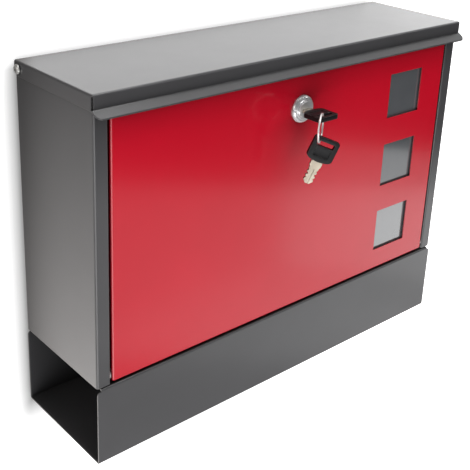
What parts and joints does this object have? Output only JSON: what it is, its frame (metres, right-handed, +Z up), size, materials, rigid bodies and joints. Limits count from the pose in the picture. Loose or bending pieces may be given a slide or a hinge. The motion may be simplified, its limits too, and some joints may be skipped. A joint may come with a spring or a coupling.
{
  "type": "wall mounted post box",
  "caption": "Folded steel wall post box with a hinged lid over a letter slot, a drop-down front door with cam lock and windows, and an open newspaper tube below.",
  "frame": {"origin": "centre of the rectangle of four wall screw holes, on the back face", "axes": "+Z up, +Y into the wall, -Y out of the front door, +X to the right as seen from the front"},
  "size_m": [0.3746, 0.135, 0.276],
  "materials": {
    "casing_paint": "satin powder coat",
    "door_paint": "satin powder coat",
    "zinc_steel": "zinc plated",
    "rivet_aluminium": "plain",
    "frosted_pane": "frosted sheet",
    "tape_foam": "matte foam",
    "lock_chrome": "polished",
    "key_steel": "nickel plated",
    "ring_steel": "polished",
    "bow_plastic": "satin moulded"
  },
  "bodies": {
    "casing": {"body_shell": "casing_paint", "floor_plate": "casing_paint", "slot_plate": "casing_paint", "top_rail": "casing_paint", "paper_tube": "casing_paint", "tube_rivets": "rivet_aluminium", "lid_screw_left": "zinc_steel", "lid_screw_right": "zinc_steel", "lid_washer_left": "zinc_steel", "lid_washer_right": "zinc_steel", "lid_nut_left": "zinc_steel", "lid_nut_right": "zinc_steel", "door_pin_left": "zinc_steel", "door_pin_right": "zinc_steel"},
    "lid_cap": {"lid": "casing_paint"},
    "door": {"door_panel": "door_paint", "window_pane": "frosted_pane", "pane_tape": "tape_foam", "lock_housing": "lock_chrome", "lock_nut": "zinc_steel"},
    "lock_core": {"lock_plug": "lock_chrome", "lock_cam": "zinc_steel", "cam_washer": "zinc_steel", "cam_screw": "zinc_steel", "key_blade": "key_steel", "key_bow": "bow_plastic"},
    "ring": {"key_ring": "ring_steel"},
    "spare_key": {"spare_key_blade": "key_steel", "spare_key_bow": "bow_plastic"}
  },
  "joints": [
    {"name": "lid_hinge", "type": "hinge", "parent": "casing", "child": "lid_cap", "pos_m": [0, -0.0075, 0.098], "axis": [-1, 0, 0], "range_deg": [0, 90]},
    {"name": "door_hinge", "type": "hinge", "parent": "casing", "child": "door", "pos_m": [0, -0.0925, -0.1037], "axis": [1, 0, 0], "range_deg": [0, 112]},
    {"name": "lock_turn", "type": "hinge", "parent": "door", "child": "lock_core", "pos_m": [0, -0.097, 0.0595], "axis": [0, 1, 0], "range_deg": [0, 90]},
    {"name": "ring_swing", "type": "hinge", "parent": "lock_core", "child": "ring", "pos_m": [-0.0015, -0.12, 0.0595], "axis": [0.8192, 0.5736, 0], "range_deg": [-14, 8]},
    {"name": "spare_key_swing", "type": "hinge", "parent": "ring", "child": "spare_key", "pos_m": [-0.00878, -0.1251, 0.0437], "axis": [0.8192, 0.5736, 0], "range_deg": [-15, 15]}
  ]
}
